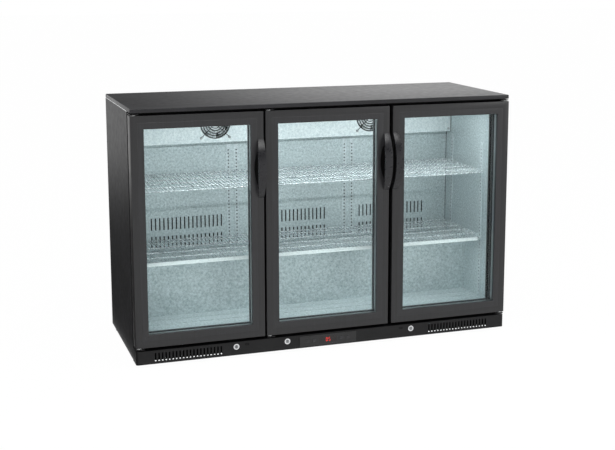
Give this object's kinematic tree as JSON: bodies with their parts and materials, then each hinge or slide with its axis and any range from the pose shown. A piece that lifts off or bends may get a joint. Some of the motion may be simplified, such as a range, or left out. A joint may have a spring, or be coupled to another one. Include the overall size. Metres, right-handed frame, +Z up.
{
  "type": "under counter fridge",
  "caption": "Low black refrigerated back-bar cabinet with hinged glass doors, wire shelves, fan-cooled interior, plinth locks and digital controller.",
  "frame": {"origin": "on the floor, under the middle of the whole outline with the handles", "axes": "+X to the right of a person facing the doors, -Y to the front, +Z up"},
  "size_m": [1.35, 0.536, 0.865],
  "materials": {
    "black_steel": "fine-textured black powder coat, satin",
    "black_plastic": "satin black moulded plastic",
    "door_profile": "satin dark grey-black profile",
    "zinc_steel": "zinc plated, satin",
    "embossed_liner": "stucco embossed, satin",
    "foam": "rigid foam, matt",
    "clear_glass": "clear, polished",
    "spacer_bar": "anodised, satin",
    "gasket_rubber": "soft black vinyl, matt",
    "lamp_cover": "opal, glossy",
    "white_wire": "plastic coated wire, satin",
    "chrome_lock": "polished",
    "display_window": "dark smoked window, glossy",
    "key_plastic": "soft touch, matt",
    "compressor_shell": "black enamel, semi-gloss",
    "copper_line": "drawn copper, satin",
    "fin_aluminium": "mill finish",
    "fan_plastic": "black moulded plastic",
    "tray_plastic": "moulded plastic, matt",
    "grey_plastic": "moulded plastic, matt",
    "foot_nylon": "moulded nylon, matt"
  },
  "bodies": {
    "cabinet": {"side_panel_left": "black_steel", "side_panel_right": "black_steel", "back_panel": "zinc_steel", "base_pan": "zinc_steel", "top_panel": "black_steel", "levelling_feet": "foot_nylon", "front_frame": "black_plastic", "insulation": "foam", "inner_liner": "embossed_liner", "rear_duct_panel": "embossed_liner", "evaporator_cover": "embossed_liner", "evaporator_fan_guards": "black_plastic", "evaporator_fan_frames": "fan_plastic", "evaporator_coil": "fin_aluminium", "evaporator_drip_tray": "tray_plastic", "shelf_standards": "zinc_steel", "upper_shelves": "white_wire", "lower_shelves": "white_wire", "shelf_clips": "zinc_steel", "light_strip": "lamp_cover", "hinge_brackets": "zinc_steel", "hinge_pins": "zinc_steel", "kick_panel": "black_steel", "lock_barrels": "chrome_lock", "controller_housing": "black_plastic", "controller_display": "display_window", "compressor": "compressor_shell", "condenser": "fin_aluminium", "condenser_fan_frame": "black_steel", "condensate_tray": "tray_plastic", "refrigerant_pipes": "copper_line", "rear_grille": "black_steel", "mains_terminal_box": "grey_plastic", "panel_screws": "zinc_steel"},
    "door_left": {"door_left_frame": "door_profile", "door_left_panes": "clear_glass", "door_left_spacer": "spacer_bar", "door_left_gasket": "gasket_rubber", "door_left_handle": "black_plastic"},
    "door_centre": {"door_centre_frame": "door_profile", "door_centre_panes": "clear_glass", "door_centre_spacer": "spacer_bar", "door_centre_gasket": "gasket_rubber", "door_centre_handle": "black_plastic"},
    "door_right": {"door_right_frame": "door_profile", "door_right_panes": "clear_glass", "door_right_spacer": "spacer_bar", "door_right_gasket": "gasket_rubber", "door_right_handle": "black_plastic"},
    "lock_plug_left": {"lock_plug_left": "chrome_lock"},
    "lock_plug_centre": {"lock_plug_centre": "chrome_lock"},
    "lock_plug_right": {"lock_plug_right": "chrome_lock"},
    "evaporator_fan_left": {"evaporator_fan_rotor_left": "fan_plastic"},
    "evaporator_fan_right": {"evaporator_fan_rotor_right": "fan_plastic"},
    "condenser_fan": {"condenser_fan_rotor": "fan_plastic"},
    "key_light": {"controller_light_key": "key_plastic"},
    "key_defrost": {"controller_defrost_key": "key_plastic"},
    "key_down": {"controller_down_key": "key_plastic"},
    "key_up": {"controller_up_key": "key_plastic"}
  },
  "joints": [
    {"name": "door_left_swing", "type": "hinge", "parent": "cabinet", "child": "door_left", "pos_m": [-0.662, -0.22, 0.4555], "axis": [0, 0, -1], "range_deg": [0, 110]},
    {"name": "door_centre_swing", "type": "hinge", "parent": "cabinet", "child": "door_centre", "pos_m": [-0.2115, -0.22, 0.4555], "axis": [0, 0, -1], "range_deg": [0, 90]},
    {"name": "door_right_swing", "type": "hinge", "parent": "cabinet", "child": "door_right", "pos_m": [0.662, -0.22, 0.4555], "axis": [0, 0, 1], "range_deg": [0, 110]},
    {"name": "lock_left_turn", "type": "hinge", "parent": "cabinet", "child": "lock_plug_left", "pos_m": [-0.334, -0.232, 0.042], "axis": [0, -1, 0], "range_deg": [0, 90]},
    {"name": "lock_centre_turn", "type": "hinge", "parent": "cabinet", "child": "lock_plug_centre", "pos_m": [-0.153, -0.232, 0.042], "axis": [0, -1, 0], "range_deg": [0, 90]},
    {"name": "lock_right_turn", "type": "hinge", "parent": "cabinet", "child": "lock_plug_right", "pos_m": [0.307, -0.232, 0.042], "axis": [0, -1, 0], "range_deg": [0, 90]},
    {"name": "evaporator_fan_left_spin", "type": "hinge", "parent": "cabinet", "child": "evaporator_fan_left", "pos_m": [-0.3, 0.178, 0.756], "axis": [0, 1, 0], "continuous": true},
    {"name": "evaporator_fan_right_spin", "type": "hinge", "parent": "cabinet", "child": "evaporator_fan_right", "pos_m": [0.3, 0.178, 0.756], "axis": [0, 1, 0], "continuous": true},
    {"name": "condenser_fan_spin", "type": "hinge", "parent": "cabinet", "child": "condenser_fan", "pos_m": [0.395, 0.162, 0.114], "axis": [1, 0, 0], "continuous": true},
    {"name": "key_light_press", "type": "slide", "parent": "cabinet", "child": "key_light", "axis": [0, 1, 0], "range_m": [0, 0.001], "stiffness_N_per_m": 400},
    {"name": "key_defrost_press", "type": "slide", "parent": "cabinet", "child": "key_defrost", "axis": [0, 1, 0], "range_m": [0, 0.001], "stiffness_N_per_m": 400},
    {"name": "key_down_press", "type": "slide", "parent": "cabinet", "child": "key_down", "axis": [0, 1, 0], "range_m": [0, 0.001], "stiffness_N_per_m": 400},
    {"name": "key_up_press", "type": "slide", "parent": "cabinet", "child": "key_up", "axis": [0, 1, 0], "range_m": [0, 0.001], "stiffness_N_per_m": 400}
  ]
}
